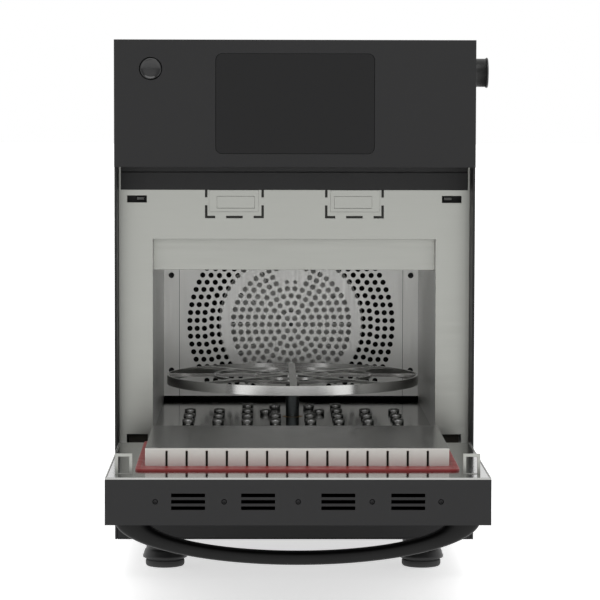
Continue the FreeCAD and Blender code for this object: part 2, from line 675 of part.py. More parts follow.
def make_liner():
    """Folded steel tube of the chamber, open to the front and the fan, and its insulation."""
    def shaft_way(radius):
        return rod("z", radius, ("0", "rack_y"), ("liner_low - insulation_thick - 1", "floor_z"))

    def probe_way(radius):
        return rod("z", radius, ("probe_x", "probe_y"), ("ceiling_z - 1", "liner_high + 40"))

    outer = block(("-liner_half", "liner_half"), ("plate_sheet", "liner_back"),
                  ("liner_low", "liner_high"))
    inner = block(("-chamber_half", "chamber_half"), ("plate_sheet - 1", "liner_back + 1"),
                  ("floor_z - plate_sheet", "ceiling_z"))
    node("chamber_liner", cut(outer, inner, shaft_way("bearing_radius"), probe_way("probe_radius")))
    gap = "joint_gap"
    wool = block(("-liner_half - insulation_thick", "liner_half + insulation_thick"),
                 ("plate_sheet + 2", "plenum_back + insulation_thick"),
                 ("liner_low - insulation_thick", "liner_high + insulation_thick"))
    core = block((f"-liner_half - {gap}", f"liner_half + {gap}"),
                 ("0", f"plenum_back + {gap}"), (f"liner_low - {gap}", f"liner_high + {gap}"))
    fan_way = rod("y", "fan_shaft_radius + 7", ("0", "fan_z"),
                  ("plenum_back", "plenum_back + insulation_thick + 1"))
    node("insulation", cut(wool, core, shaft_way("bearing_radius + 2"),
                           probe_way("probe_radius + 1"), fan_way))
    node("thermocouple", rod("z", "probe_radius", ("probe_x", "probe_y"),
                             ("ceiling_z - 22", "liner_high + 14")))


# Hot-air studs on the floor: distance from the middle plane, distance behind the rack's axis.
STUD_SPOTS = ((20, -80), (20, -25), (31, 22), (20, 80), (52, -80), (52, -25), (52, 30),
              (52, 85), (85, -80), (85, -25), (85, 30), (119, -80), (119, -25), (119, 30))


def make_floor():
    """Polished floor plate with its ring-topped studs."""
    body = doc.addObject("PartDesign::Body", "FloorPlate")
    outline = sketch_on(body, "XY_Plane", "floor_z - plate_sheet")
    draw_rectangle(outline, ("fit_gap - chamber_half", "chamber_half - fit_gap"),
                   ("plate_sheet + fit_gap", "chamber_depth - fit_gap"))
    pad(body, outline, "plate_sheet")
    hole = sketch_on(body, "XY_Plane", "floor_z - plate_sheet")
    draw_circle(hole, "0", "rack_y", "bearing_radius")
    pocket(body, hole)
    node("floor_plate", body)
    studs = []
    for side in SIDES:
        for offset, behind in STUD_SPOTS:
            across = (side * offset, f"rack_y + {behind}")
            top = "floor_z + nozzle_height"
            stud = fuse(rod("z", "nozzle_radius", across, ("floor_z", "floor_z + 1.8")),
                        rod("z", "nozzle_radius - 2", across, ("floor_z", f"{top} - 1")),
                        rod("z", "nozzle_radius - 0.8", across, (f"{top} - 2", top)))
            studs.append(cut(stud, rod("z", "nozzle_radius - 3.4", across,
                                       ("floor_z + 2", f"{top} + 1"))))
    node("floor_studs", group(*studs))


def make_baffle():
    """Perforated air guide in front of the fan; its face is made once with all its holes."""
    half = number("baffle_half")
    low = number("baffle_foot_gap") - number("fan_height")
    high = number("chamber_height") - number("fan_height") - number("fit_gap")
    corners = [Vector(-half, 0, low), Vector(half, 0, low), Vector(half, 0, high),
               Vector(-half, 0, high), Vector(-half, 0, low)]
    wires = [Part.makePolygon(corners)]
    wires += [Part.Wire(Part.makeCircle(radius, Vector(x, 0, z), Vector(0, 1, 0)))
              for x, z, radius in perforations(low, high)]
    panel = Part.Face(wires[:1])
    panel = panel.cut(Part.makeCompound([Part.Face(wire) for wire in wires[1:]]))
    made = doc.addObject("Part::Feature", "Perforated")
    made.Shape = panel.Faces[0].extrude(Vector(0, number("baffle_sheet"), 0))
    node("rear_baffle", made, at("0", "chamber_depth", "fan_z"))


def perforations(low, high):
    """Holes round the fan's axis: close rings over the fan's eye, wider spaced ones outside."""
    hole, step = number("hole_radius"), number("hole_step")
    notch_half, notch_low = number("notch_half"), number("notch_low")
    holes = [(0, 0, 2.5), (-5, notch_low - 7.6, 2.5), (5, notch_low - 7.6, 2.5)]
    inner = int(number("inner_rings"))
    for ring in range(1, inner + int(number("outer_rings")) + 1):
        radius = ring * step if ring <= inner else inner * step + (ring - inner + 1) * step
        count = 6 * ring if ring <= inner else round(2 * math.pi * radius / number("outer_pitch"))
        for i in range(count):
            turn = 2 * math.pi * (i + 0.5 * (ring % 2)) / count
            x, z = radius * math.sin(turn), radius * math.cos(turn)
            behind_screws = abs(x) < notch_half + hole and z > notch_low - 14
            if not behind_screws and low + 6 < z < high - 6 and abs(x) < number("baffle_half") - 6:
                holes.append((x, z, hole))
    return holes


def make_chamber_fittings():
    """Side strips beside the baffle with their screws, the front skirt and the upper tubes."""
    strips, screws, holders, tubes = [], [], [], []
    strip_mid = "(baffle_half + chamber_half) / 2"
    for side in SIDES:
        strips.append(block(mirrored("baffle_half + seam", "chamber_half - fit_gap", side),
                            ("chamber_depth", "baffle_back"),
                            ("baffle_low", "ceiling_z - fit_gap")))
        for height in ("fan_z + 60", "fan_z - 56"):
            screws.append(rod("y", "3.4", (f"{side} * {strip_mid}", height),
                              ("chamber_depth - 1.8", "chamber_depth")))
    node("rear_strips", group(*strips))
    node("strip_screws", group(*screws))
    across = ("fit_gap - chamber_half", "chamber_half - fit_gap")
    hanging = block(across, ("skirt_setback", "skirt_setback + baffle_sheet"),
                    ("opening_top - skirt_drop", "ceiling_z"))
    flange = block(across, ("skirt_setback", "skirt_setback + 14"),
                   ("ceiling_z - baffle_sheet", "ceiling_z"))
    node("skirt", fuse(hanging, flange))
    for behind in ("rack_y - 95", "rack_y", "rack_y + 95"):
        place = (behind, "ceiling_z - tube_drop")
        tubes.append(rod("x", "tube_radius", place, ("3 - chamber_half", "chamber_half - 3")))
        for side in SIDES:
            holder = block(mirrored("chamber_half - 11", "chamber_half", side),
                           (f"{behind} - 9", f"{behind} + 9"), ("ceiling_z - 20", "ceiling_z"))
            holders.append(cut(holder, rod("x", "tube_radius", place,
                                           mirrored("chamber_half - 12", "chamber_half - 3", side))))
    node("upper_heaters", group(*tubes))
    node("heater_holders", group(*holders))


def make_fan():
    """Centrifugal fan behind the baffle with its ring heater, plenum, shaft and motor."""
    box = block(("-liner_half", "liner_half"), ("liner_back", "plenum_back"),
                ("liner_low", "liner_high"))
    room = block(("-chamber_half", "chamber_half"), ("liner_back - 1", "plenum_back - liner_sheet"),
                 ("floor_z - plate_sheet", "ceiling_z"))
    axis = ("0", "fan_z")
    shaft_way = rod("y", "fan_shaft_radius + 3", axis, ("liner_back", "plenum_back + 1"))
    node("plenum_housing", cut(box, room, shaft_way))
    loops = []
    droop = 35
    upright = Rotation(Vector(1, 0, 0), 90) * Rotation(Vector(0, 0, 1), -droop)
    for back in ("plenum_back - 12", "plenum_back - 26"):
        arch = doc.addObject("Part::Torus", "Arch")
        arch.Placement = Placement(Vector(), upright)
        arch.Angle3 = 180 + 2 * droop
        arch.setExpression("Radius1", cells("heater_arch_radius"))
        arch.setExpression("Radius2", cells("heater_wire_radius"))
        arch.setExpression("Placement.Base.y", cells(back))
        arch.setExpression("Placement.Base.z", cells("fan_z"))
        loops.append(arch)
    legs = [rod("y", "heater_wire_radius",
                (f"{side} * heater_arch_radius * cos({droop} deg)",
                 f"fan_z - heater_arch_radius * sin({droop} deg)"),
                ("plenum_back - 26", "plenum_back - liner_sheet")) for side in SIDES]
    node("arch_heater", fuse(*loops, *legs))

    wheel = bladed_wheel("FanImpeller", "impeller_radius", "impeller_sheet", "14", "15",
                         ("50", "impeller_radius - 2"), "blade_depth", int(number("blade_count")))
    bore = sketch_on(wheel, "XZ_Plane")
    draw_circle(bore, "0", "0", "fan_shaft_radius")
    pocket(wheel, bore)
    node("fan_impeller", wheel, at("0", "impeller_back", "fan_z"))

    motor_front = "plenum_back + insulation_thick"
    node("fan_shaft", rod("y", "fan_shaft_radius", axis,
                          ("impeller_back - 15", f"{motor_front} + 30")))
    strap = block(("-inner_half", "inner_half"), (motor_front, f"{motor_front} + 2.5"),
                  ("fan_z - 24", "fan_z + 24"))
    plate = block(("-motor_radius - 14", "motor_radius + 14"),
                  (motor_front, f"{motor_front} + 2.5"),
                  ("fan_z - motor_radius - 14", "fan_z + motor_radius + 14"))
    node("motor_bracket", cut(fuse(strap, plate),
                              rod("y", "fan_shaft_radius + 7", axis,
                                  (f"{motor_front} - 1", f"{motor_front} + 4"))))
    can = fuse(rod("y", "motor_radius", axis,
                   (f"{motor_front} + 2.5", f"{motor_front} + motor_length")),
               rod("y", "motor_radius - 20", axis,
                   (f"{motor_front} + motor_length", f"{motor_front} + motor_length + 4")))
    node("fan_motor", cut(can, rod("y", "fan_shaft_radius + running_gap", axis,
                                   (f"{motor_front} + 2", f"{motor_front} + 31"))))


def make_rack():
    """Rotating wire rack: a flat-bar ring with hoops and spokes on a driven shaft."""
    body = doc.addObject("PartDesign::Body", "Rack")
    rings = (("rack_radius", "rack_wall", "rack_band"), ("0.63 * rack_radius", "3", "3"),
             ("0.31 * rack_radius", "3", "3"))
    spoke = sketch_on(body, "XY_Plane", "-rack_bar_thick")
    draw_rectangle(spoke, ("0", "rack_radius - rack_wall / 2"), ("-rack_bar / 2", "rack_bar / 2"))
    first = pad(body, spoke, "rack_bar_thick")
    pattern = body.newObject("PartDesign::PolarPattern", "Spokes")
    pattern.Originals = [first]
    pattern.Axis = (origin_feature(body, "Z_Axis"), [""])
    pattern.Angle = 360
    pattern.Occurrences = int(number("rack_spokes"))
    body.Tip = pattern
    doc.recompute()
    for radius, wall, tall in rings:
        ring = sketch_on(body, "XY_Plane", f"-({tall})")
        draw_circle(ring, "0", "0", radius)
        draw_circle(ring, "0", "0", f"{radius} - {wall}")
        pad(body, ring, tall)
    hub = sketch_on(body, "XY_Plane", "-rack_band")
    draw_circle(hub, "0", "0", "rack_shaft_radius + 5")
    pad(body, hub, "rack_band")
    socket = sketch_on(body, "XY_Plane", "-rack_band")
    draw_circle(socket, "0", "0", "spigot_pin_radius + running_gap")
    pocket(body, socket, "spigot_pin_length + joint_gap", reversed_way=True)
    node("turntable_rack", body, at("0", "rack_y", "rack_top"))
    axis = ("0", "rack_y")
    seat = "rack_top - rack_band"
    node("rack_shaft", fuse(rod("z", "rack_shaft_radius", axis, ("base_top + 12", seat)),
                            rod("z", "spigot_pin_radius", axis,
                                (seat, f"{seat} + spigot_pin_length"))))
    node("shaft_bearing", tube("z", "bearing_radius", "rack_shaft_radius + running_gap", axis,
                               ("liner_low - 22", "floor_z")))
    gearbox = block((-38, 38), ("rack_y - 38", "rack_y + 38"), ("base_top", "base_top + 38"))
    can = rod("z", "22", (56, "rack_y"), ("base_top", "base_top + 30"))
    well = rod("z", "rack_shaft_radius + running_gap", axis, ("base_top + 10", "base_top + 40"))
    node("rack_gearmotor", cut(fuse(gearbox, can), well))


# ---- door, modelled shut and placed open -------------------------------------------------------

SCREW_PLACES = ("-screw_outer", "-screw_inner", "0", "screw_inner", "screw_outer")


def make_door_shell():
    """Black outer pan of the door with cooling slots and screw holes in its top edge."""
    body = doc.addObject("PartDesign::Body", "DoorShell")
    back = "-door_gap - door_plate"
    front = "-head_forward"
    side_view = sketch_on(body, "YZ_Plane")
    draw_outline(side_view, [
        (front, "door_bottom"), ("-door_gap - chamfer_depth", "door_bottom"),
        (back, "door_bottom + chamfer_rise"), (back, "door_top"), (front, "door_top")])
    pad(body, side_view, "2 * door_half", midplane=True)
    room = sketch_on(body, "YZ_Plane")
    draw_outline(room, [
        (f"{front} + door_skin", "door_bottom + door_skin"),
        ("-door_gap - chamfer_depth - door_skin", "door_bottom + door_skin"),
        (back, "door_bottom + chamfer_rise + 4"), (back, "door_top - door_skin"),
        (f"{front} + door_skin", "door_top - door_skin")])
    before = body.Shape.Volume
    hollow = body.newObject("PartDesign::Pocket", "Hollow")
    hollow.Profile = room
    hollow.Midplane = True
    hollow.setExpression("Length", cells("2 * (door_half - door_skin)"))
    doc.recompute()
    if body.Shape.Volume > before / 2:
        raise RuntimeError("the door's hollow cuts too little")
    vents = sketch_on(body, "XY_Plane", "door_top")
    first_row = "door_mid_y - vent_pitch"
    for side in SIDES:
        for middle in ("vent_inner", "vent_outer"):
            draw_rectangle(vents, mirrored(f"{middle} - vent_length / 2",
                                           f"{middle} + vent_length / 2", side),
                           (f"{first_row} - vent_width / 2", f"{first_row} + vent_width / 2"))
    row_of(body, pocket(body, vents, "door_skin"), "Y_Axis", "2 * vent_pitch", 3)
    holes = sketch_on(body, "XY_Plane", "door_top")
    for middle in SCREW_PLACES:
        draw_circle(holes, middle, "door_mid_y", "door_screw_radius")
    pocket(body, holes, "door_skin")
    notches = [rod("x", "knuckle_radius + fit_gap", ("hinge_y", "hinge_z"),
                   mirrored("door_half - knuckle_width - fit_gap", "door_half + 1", side))
               for side in SIDES]
    node("door_shell", cut(body, *notches), DOOR)
    screws = [rod("z", "door_screw_radius", (middle, "door_mid_y"),
                  ("door_top - 12", "door_top - 0.8")) for middle in SCREW_PLACES]
    node("door_screws", group(*screws), DOOR)


def make_door_inside():
    """Steel inner plate with a lip round three edges, plug with comb slots on all its edges
    and insulation inside, gasket and strikers."""
    inner_low = "door_bottom + chamfer_rise"
    tray = block(("-door_half", "door_half"), ("-door_gap - door_plate", "lip_rise - door_gap"),
                 (inner_low, "door_top"))
    inside = block(("lip_wall - door_half", "door_half - lip_wall"),
                   ("-door_gap", "lip_rise - door_gap + 1"),
                   (f"{inner_low} - 1", "door_top - lip_wall"))
    node("door_inner_plate", cut(tray, inside), DOOR)
    body = doc.addObject("PartDesign::Body", "DoorPlug")
    outline = sketch_on(body, "XZ_Plane", "-plug_face")
    draw_rectangle(outline, ("-plug_half", "plug_half"), ("plug_low", "plug_high"))
    pad(body, outline, "plug_depth")
    room = sketch_on(body, "XZ_Plane", "door_gap")
    draw_rectangle(room, ("comb_sheet - plug_half", "plug_half - comb_sheet"),
                   ("plug_low + comb_sheet", "plug_high - comb_sheet"))
    pocket(body, room, "plug_depth - comb_sheet")
    deep = ("-door_gap", "plug_face - comb_band")
    edge_slot = sketch_on(body, "XY_Plane", "(plug_low + plug_high) / 2")
    draw_rectangle(edge_slot, ("-(comb_span + comb_width) / 2", "(comb_width - comb_span) / 2"), deep)
    row_of(body, pocket(body, edge_slot), "X_Axis", "comb_span", int(number("comb_count")))
    middle = "(plug_low + plug_high) / 2"
    side_slot = sketch_on(body, "YZ_Plane")
    draw_rectangle(side_slot, deep, (f"{middle} - (comb_side_span + comb_width) / 2",
                                     f"{middle} + (comb_width - comb_side_span) / 2"))
    row_of(body, pocket(body, side_slot), "Z_Axis", "comb_side_span",
           int(number("comb_side_count")))
    node("door_plug", body, DOOR)
    loose = "comb_sheet + fit_gap - plug_half"
    node("plug_insulation", block((loose, f"-({loose})"),
                                  ("-door_gap", "plug_face - comb_sheet - fit_gap"),
                                  ("plug_low + comb_sheet + fit_gap",
                                   "plug_high - comb_sheet - fit_gap")), DOOR)
    thick = ("-door_gap", "gasket_thick - door_gap")
    rubber = block(("-gasket_half", "gasket_half"), thick, ("gasket_low", "gasket_high"))
    window = block(("-plug_half - fit_gap", "plug_half + fit_gap"), ("-door_gap - 1", "1"),
                   ("plug_low - fit_gap", "plug_high + fit_gap"))
    node("door_gasket", cut(rubber, window), DOOR)
    strikers = []
    for side in SIDES:
        middle = f"{side} * striker_mid"
        height = ("striker_low", "striker_low + striker_thick")
        plate = block((f"{middle} - striker_width / 2", f"{middle} + striker_width / 2"),
                      ("-door_gap", "striker_tip"), height)
        window = block((f"{middle} - striker_width / 2 + striker_bar",
                        f"{middle} + striker_width / 2 - striker_bar"),
                       ("0.5 - door_gap", "striker_tip - striker_bar"),
                       ("striker_low - 1", "striker_low + striker_thick + 1"))
        strikers.append(cut(plate, window))
    node("door_strikers", group(*strikers), DOOR)


def make_door_handle():
    """Bow handle: the ring between two half ellipses, standing on the door's outer face."""
    bows = []
    for span, reach in (("handle_span", "handle_reach"),
                        ("handle_inner_span", "handle_inner_reach")):
        curve = doc.addObject("Part::Ellipse", "Bow")
        curve.setExpression("MajorRadius", cells(span))
        curve.setExpression("MinorRadius", cells(reach))
        curve.setExpression("Placement.Base.y", cells("-head_forward"))
        curve.setExpression("Placement.Base.z", cells("handle_mid - handle_width / 2"))
        bow = doc.addObject("Part::Extrusion", "BowSolid")
        bow.Base = curve
        bow.DirMode = "Custom"
        bow.Dir = Vector(0, 0, 1)
        bow.setExpression("LengthFwd", cells("handle_width"))
        bow.Solid = True
        bows.append(bow)
    inside = block(("-door_half - 20", "door_half + 20"), ("-head_forward", "handle_reach"),
                   ("handle_mid - handle_width", "handle_mid + handle_width"))
    bar = cut(bows[0], bows[1], inside)
    doc.recompute()
    soft = doc.addObject("Part::Fillet", "SoftBar")
    soft.Base = bar
    radius = number("handle_round")
    long_edges = [i for i, edge in enumerate(bar.Shape.Edges, start=1)
                  if edge.Curve.TypeId == "Part::GeomEllipse"]
    soft.Edges = [(i, radius, radius) for i in long_edges]
    node("door_handle", soft, DOOR)


def make_hinges():
    """Knuckles in the door's lower corners turn on pins held by ears on the kick panel."""
    axis = ("hinge_y", "hinge_z")
    knuckles, ears, pins = [], [], []
    for side in SIDES:
        knuckles.append(tube("x", "knuckle_radius", "pin_radius + running_gap", axis,
                             mirrored("door_half - knuckle_width", "door_half", side)))
        inside, outside = "door_half + 0.6", "door_half + 0.6 + ear_width"
        ear = block(mirrored(inside, outside, side), ("hinge_y - 6", "-cover_forward"),
                    ("kick_top - 12", "hinge_z + 6"))
        foot = block(mirrored(f"{inside} - 16", outside, side),
                     ("-cover_forward - plate_sheet", "-cover_forward"),
                     ("kick_top - 12", "kick_top - 0.5"))
        ears.append(cut(fuse(ear, foot), rod("x", "pin_radius", axis,
                                             mirrored(f"{inside} - 1", f"{outside} + 1", side))))
        pins.append(rod("x", "pin_radius", axis,
                        mirrored("door_half - knuckle_width + 0.5", outside, side)))
    node("hinge_knuckles", group(*knuckles), DOOR)
    node("hinge_brackets", group(*ears))
    node("hinge_pins", group(*pins))


# ---- rear connections --------------------------------------------------------------------------

def make_rear_connections():
    """Mains inlet with its three blades, and the flanged exhaust spigot."""
    middle, height = "-inlet_offset", "inlet_z"
    half_width, half_height = "inlet_half_width", "inlet_half_height"
    wide, narrow = f"{half_width} - 1.6", f"{half_height} - 1.9"
    flange = block((f"{middle} - {half_width} - 4.4", f"{middle} + {half_width} + 4.4"),
                   ("rear_outer", "rear_outer + 2"),
                   (f"{height} - {half_height} - 3.9", f"{height} + {half_height} + 3.9"))
    barrel = block((f"{middle} - {half_width}", f"{middle} + {half_width}"),
                   ("rear_outer - 20", "rear_outer"),
                   (f"{height} - {half_height}", f"{height} + {half_height}"))
    socket = block((f"{middle} - ({wide})", f"{middle} + {wide}"),
                   ("rear_outer - 16", "rear_outer + 3"),
                   (f"{height} - ({narrow})", f"{height} + {narrow}"))
    blades = [block((f"{middle} + {x} - 1", f"{middle} + {x} + 1"),
                    ("rear_outer - 17", "rear_outer - 4.5"),
                    (f"{height} + {z} - 2", f"{height} + {z} + 2")) for x, z in
              ((-7, -2.5), (0, 2.5), (7, -2.5))]
    node("mains_inlet", fuse(cut(fuse(flange, barrel), socket), *blades))
    across = ("-spigot_offset", "spigot_z")
    pipe = tube("y", "spigot_radius", "spigot_radius - liner_sheet", across,
                ("rear_outer", "oven_back"))
    collar = tube("y", "spigot_radius + 7", "spigot_radius - liner_sheet", across,
                  ("rear_outer", "rear_outer + liner_sheet"))
    node("exhaust_spigot", fuse(pipe, collar))


for make in (make_outer_cover, make_base, make_rear_panel, make_feet, make_head_fascia,
             make_touch_glass, make_display, make_power_button, make_side_knob,
             make_head_contents, make_face_plate, make_front_fittings, make_liner, make_floor,
             make_baffle, make_chamber_fittings, make_fan, make_rack, make_door_shell,
             make_door_inside, make_door_handle, make_hinges, make_rear_connections):
    make()
doc.recompute()

faults = [item.Label for item in doc.Objects
          if "Invalid" in item.State or "Error" in item.State]
faults += [item.Label for item in nodes if item.Shape.isNull() or not item.Shape.isValid()
           or not item.Shape.Solids]
if faults:
    raise RuntimeError("failed objects: " + ", ".join(faults))

os.makedirs("parts", exist_ok=True)
for item in nodes:
    item.Shape.exportStep(f"parts/{item.Label}.step")
print(len(nodes), "sub-parts written")
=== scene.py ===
from math import copysign, cos, pi, radians, sin, tau

import bmesh
import bpy
from mathutils import Matrix, Vector


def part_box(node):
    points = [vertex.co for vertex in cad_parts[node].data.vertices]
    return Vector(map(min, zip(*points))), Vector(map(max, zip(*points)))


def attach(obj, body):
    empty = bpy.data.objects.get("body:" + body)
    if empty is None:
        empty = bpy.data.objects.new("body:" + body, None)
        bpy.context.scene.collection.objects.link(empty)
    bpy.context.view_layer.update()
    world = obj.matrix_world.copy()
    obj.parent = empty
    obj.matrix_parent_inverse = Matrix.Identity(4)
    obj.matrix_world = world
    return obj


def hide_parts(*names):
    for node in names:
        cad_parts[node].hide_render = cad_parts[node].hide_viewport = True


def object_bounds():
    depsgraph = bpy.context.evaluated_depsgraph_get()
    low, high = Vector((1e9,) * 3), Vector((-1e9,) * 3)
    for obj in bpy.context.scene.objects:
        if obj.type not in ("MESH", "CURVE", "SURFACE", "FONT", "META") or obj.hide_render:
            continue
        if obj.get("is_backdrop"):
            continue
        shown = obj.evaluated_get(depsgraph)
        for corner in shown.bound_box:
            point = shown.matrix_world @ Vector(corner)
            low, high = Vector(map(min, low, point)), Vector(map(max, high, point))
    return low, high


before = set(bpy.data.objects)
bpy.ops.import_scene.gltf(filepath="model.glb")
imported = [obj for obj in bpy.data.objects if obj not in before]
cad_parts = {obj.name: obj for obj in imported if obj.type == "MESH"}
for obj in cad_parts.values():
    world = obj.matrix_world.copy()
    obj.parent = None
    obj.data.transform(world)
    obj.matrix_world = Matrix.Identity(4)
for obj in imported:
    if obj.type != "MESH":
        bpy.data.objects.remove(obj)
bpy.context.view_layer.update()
MM = 0.001


# ---- camera ----------------------------------------------------------------------------------
# A long lens stands over three metres in front of the open door, a little above the head,
# and looks slightly down, so that the floor of the chamber and the top of the plug just show.
SENSOR = 36
CAMERA_PLACE = (-43.5 * MM, -3296 * MM, 525 * MM)
CAMERA_TURN, CAMERA_DIP, CAMERA_ROLL = radians(0.743), radians(3.936), radians(0.122)

camera = bpy.data.objects.new("camera", bpy.data.cameras.new("camera"))
bpy.context.scene.collection.objects.link(camera)
camera.data.sensor_width = SENSOR
camera.data.lens = 176.53
camera.data.clip_end = 50
camera.matrix_world = (Matrix.Translation(CAMERA_PLACE) @ Matrix.Rotation(-CAMERA_TURN, 4, "Z")
                       @ Matrix.Rotation(pi / 2 - CAMERA_DIP, 4, "X")
                       @ Matrix.Rotation(CAMERA_ROLL, 4, "Z"))
bpy.context.scene.camera = camera
bpy.context.scene.view_settings.view_transform = "Standard"


# ---- studio ----------------------------------------------------------------------------------
# The oven stands on a wide white table in a white room. The room in front is dimmer, so steel
# that faces the camera turns mid grey, and one big soft box hangs over the door.

def linear(hex_colour):
    """An sRGB hex colour as the linear red, green, blue and alpha that a shader takes."""
    parts = [int(hex_colour[i:i + 2], 16) / 255 for i in (1, 3, 5)]
    return [c / 12.92 if c <= 0.04045 else ((c + 0.055) / 1.055) ** 2.4 for c in parts] + [1]


def add(tree, kind, feeds=None, **settings):
    """Add a node, set it up, and fill its sockets with values or with links to other sockets."""
    made = tree.nodes.new(kind)
    for name, value in settings.items():
        setattr(made, name, value)
    for socket, value in (feeds or {}).items():
        if isinstance(value, bpy.types.NodeSocket):
            tree.links.new(value, made.inputs[socket])
        else:
            made.inputs[socket].default_value = value
    return made


def material(name, colour, roughness, metallic=0.0, **sockets):
    """A new material whose main shader is set up, with its tree and shader ready for more."""
    made = bpy.data.materials.new(name)
    made.use_nodes = True
    shader = made.node_tree.nodes["Principled BSDF"]
    shader.inputs["Base Color"].default_value = linear(colour)
    shader.inputs["Roughness"].default_value = roughness
    shader.inputs["Metallic"].default_value = metallic
    for socket, value in sockets.items():
        shader.inputs[socket.replace("_", " ")].default_value = value
    return made, made.node_tree, shader


def new_piece(name, verts, faces, coat, sharp=40):
    """A mesh object from points in metres, smooth but for turns of over sharp degrees."""
    mesh = bpy.data.meshes.new(name)
    mesh.from_pydata([tuple(v) for v in verts], [], faces)
    build = bmesh.new()
    build.from_mesh(mesh)
    bmesh.ops.remove_doubles(build, verts=build.verts, dist=1e-7)
    bmesh.ops.recalc_face_normals(build, faces=build.faces)
    build.to_mesh(mesh)
    build.free()
    mesh.shade_smooth()
    mesh.set_sharp_from_angle(angle=radians(sharp))
    mesh.materials.append(coat)
    made = bpy.data.objects.new(name, mesh)
    bpy.context.scene.collection.objects.link(made)
    return made


TABLE_HALF = 30
laminate, tree, shader = material("white_laminate", "#f2f2f2", 0.8, Specular_IOR_Level=0.15,
                                  Emission_Color=linear("#ffffff"), Emission_Strength=0.62)
table = new_piece("table_top", [(-TABLE_HALF, -TABLE_HALF, 0), (TABLE_HALF, -TABLE_HALF, 0),
                                (TABLE_HALF, TABLE_HALF, 0), (-TABLE_HALF, TABLE_HALF, 0)],
                  [(0, 1, 2, 3)], laminate)
table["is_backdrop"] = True

# The world gets brighter from front to back: a dim room in front, a lit wall behind.
world = bpy.data.worlds.new("studio")
world.use_nodes = True
bpy.context.scene.world = world
air = world.node_tree
direction = add(air, "ShaderNodeSeparateXYZ",
                {"Vector": add(air, "ShaderNodeTexCoord").outputs["Generated"]})
brightness = add(air, "ShaderNodeMapRange",
                 {"Value": direction.outputs["Y"], "From Min": -0.6, "From Max": 0.5,
                  "To Min": 0.58, "To Max": 1.0}, interpolation_type="SMOOTHSTEP")
air.links.new(brightness.outputs["Result"], air.nodes["Background"].inputs["Strength"])
air.nodes["Background"].inputs["Color"].default_value = linear("#ffffff")


def soft_box(name, place, aim, width, height, watts):
    light = bpy.data.objects.new(name, bpy.data.lights.new(name, "AREA"))
    light.data.shape = "RECTANGLE"
    light.data.size, light.data.size_y = width, height
    light.data.energy = watts
    light.location = place
    light.rotation_euler = (Vector(aim) - Vector(place)).to_track_quat("-Z", "Y").to_euler()
    bpy.context.scene.collection.objects.link(light)


soft_box("soft_box_over_door", (0, -1.5, 2.4), (0, 0, 0.25), 2.2, 1.2, 20)
soft_box("fill_into_chamber", (0, -2.6, 1.1), (0, 0.1, 0.26), 1.6, 0.9, 2)


# ---- casing ----------------------------------------------------------------------------------
# Cover, base, back and head front are folded mild steel sheet under a black powder coat.
# The coat is satin: it dulls reflections and lies in a faint orange peel.

def spread(tree, size, stretch=(1, 1, 1), detail=3.0):
    """Noise whose grains are size across, drawn out by stretch along each axis."""
    place = add(tree, "ShaderNodeTexCoord").outputs["Object"]
    scale = [1 / (size * s) for s in stretch]
    lie = add(tree, "ShaderNodeMapping", {"Vector": place, "Scale": scale})
    return add(tree, "ShaderNodeTexNoise",
               {"Vector": lie.outputs["Vector"], "Scale": 1.0, "Detail": detail})


def vary(tree, shader, noise, socket, low, high):
    """Let noise carry one number of the shader between two values."""
    between = add(tree, "ShaderNodeMapRange",
                  {"Value": noise.outputs["Fac"], "From Min": 0.3, "From Max": 0.7,
                   "To Min": low, "To Max": high})
    tree.links.new(between.outputs["Result"], shader.inputs[socket])


def mottle(tree, shader, noise, dark, light):
    """Let noise carry the colour between two shades."""
    shades = add(tree, "ShaderNodeMix", {"Factor": noise.outputs["Fac"]}, data_type="RGBA")
    shades.inputs[6].default_value = linear(dark)
    shades.inputs[7].default_value = linear(light)
    tree.links.new(shades.outputs[2], shader.inputs["Base Color"])


def relief(tree, shader, noise, depth):
    """Raise the surface by noise, depth high."""
    bump = add(tree, "ShaderNodeBump", {"Height": noise.outputs["Fac"], "Distance": depth})
    tree.links.new(bump.outputs["Normal"], shader.inputs["Normal"])


def finish_nodes(coat, *names):
    """Give CAD nodes this material."""
    for name in names:
        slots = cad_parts[name].data.materials
        slots.clear()
        slots.append(coat)


def ease(width, *names):
    """Break the sharp edges of CAD nodes, as deburring and coating do."""
    for name in names:
        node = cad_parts[name]
        node.modifiers.new("weld", "WELD").merge_threshold = 1e-6
        flat = node.modifiers.new("flat", "DECIMATE")
        flat.decimate_type = "DISSOLVE"
        flat.angle_limit = radians(0.5)
        edge = node.modifiers.new("eased", "BEVEL")
        edge.width = width
        edge.segments = 2
        edge.limit_method = "ANGLE"
        edge.angle_limit = radians(35)
        edge.harden_normals = True


powder_coat, tree, shader = material("satin_powder_coat", "#121213", 0.5, Specular_IOR_Level=0.36)
vary(tree, shader, spread(tree, 45 * MM), "Roughness", 0.5, 0.52)
relief(tree, shader, spread(tree, 1.4 * MM, detail=1.5), 0.03 * MM)
finish_nodes(powder_coat, "outer_cover", "base_pan", "kick_panel", "rear_panel", "head_fascia",
             "top_trim", "hinge_brackets", "door_shell")
ease(0.8 * MM, "outer_cover", "head_fascia")
ease(0.5 * MM, "kick_panel", "door_shell", "top_trim")


# ---- feet ------------------------------------------------------------------------------------
# Four moulded nylon feet screw into the base. Each widens to a rim just above a narrow groove,
# and a grey rubber puck with a rounded lower edge is pressed in under it.

